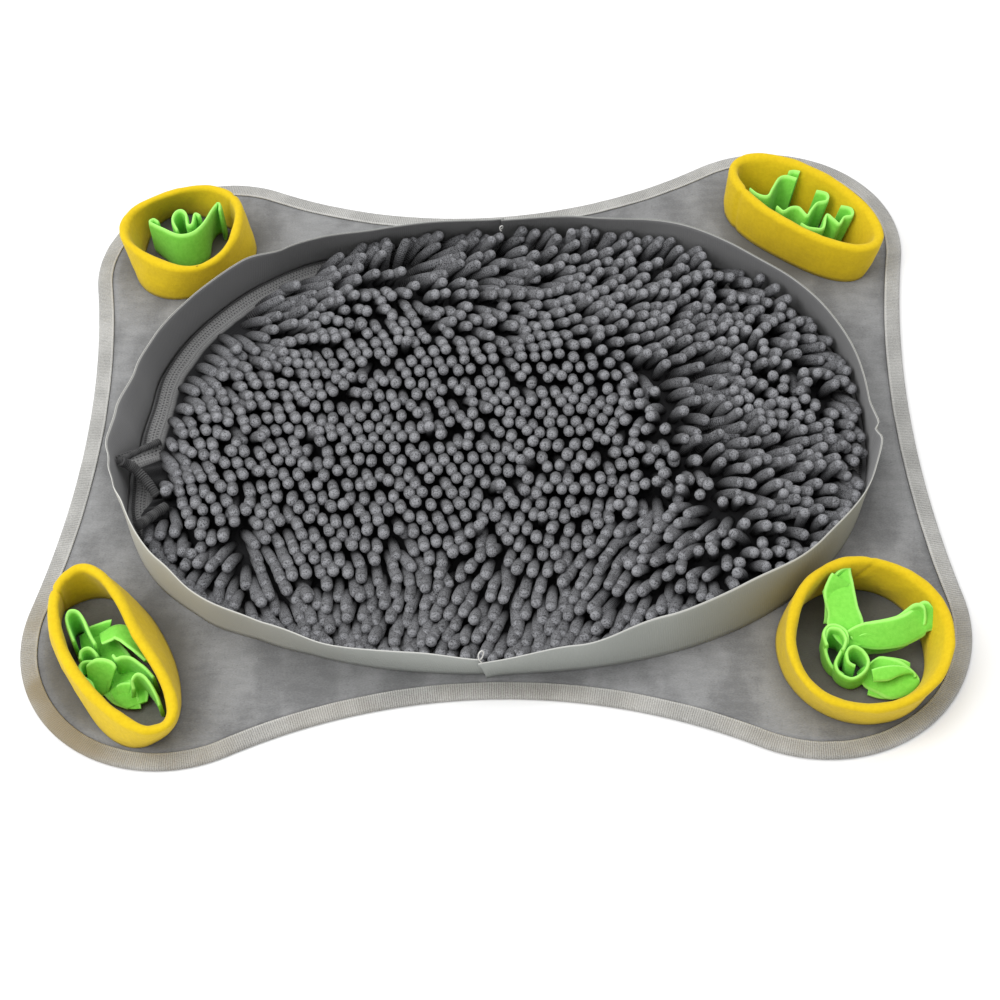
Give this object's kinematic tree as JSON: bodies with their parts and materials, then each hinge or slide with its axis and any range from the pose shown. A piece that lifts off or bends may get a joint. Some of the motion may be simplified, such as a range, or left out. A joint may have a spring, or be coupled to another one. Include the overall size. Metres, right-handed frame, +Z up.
{
  "type": "snuffle mat",
  "caption": "Lobed cloth snuffle mat with a bound edge, a shaggy oval pad inside a low standing wall, and fleece rings with folded fleece strips at its corners.",
  "frame": {"origin": "on the floor under the middle of the mat's outline", "axes": "+X to the right along the long side, +Y to the back, +Z up from the floor"},
  "size_m": [0.6059, 0.5306, 0.0433],
  "materials": {
    "base_cloth": "matt felted grey cloth",
    "edge_tape": "grey beige tape with fine cross ribs",
    "wall_webbing": "closely woven grey webbing",
    "chenille": "dark grey fluffy chenille yarn",
    "yellow_fleece": "brushed yellow fleece",
    "green_fleece": "brushed light green fleece"
  },
  "bodies": {
    "root": {"base_mat": "base_cloth", "edge_binding": "edge_tape", "chenille_pad": "chenille", "wall_band_left": "wall_webbing", "wall_band_right": "wall_webbing", "ring_front_left": "yellow_fleece", "ring_front_right": "yellow_fleece", "ring_back_left": "yellow_fleece", "ring_back_right": "yellow_fleece", "fleece_front_right_up": "green_fleece", "fleece_front_right_side": "green_fleece", "fleece_front_right_low": "green_fleece", "fleece_front_right_top": "green_fleece", "fleece_front_right_knot": "green_fleece", "fleece_front_left_channel": "green_fleece", "fleece_front_left_loop": "green_fleece", "fleece_front_left_arch": "green_fleece", "fleece_front_left_low": "green_fleece", "fleece_front_left_wave": "green_fleece", "fleece_front_left_inner": "green_fleece", "fleece_front_left_hook": "green_fleece", "fleece_back_left_cup": "green_fleece", "fleece_back_left_loop": "green_fleece", "fleece_back_right_first": "green_fleece", "fleece_back_right_back": "green_fleece", "fleece_back_right_second": "green_fleece", "fleece_back_right_third": "green_fleece"}
  },
  "joints": []
}
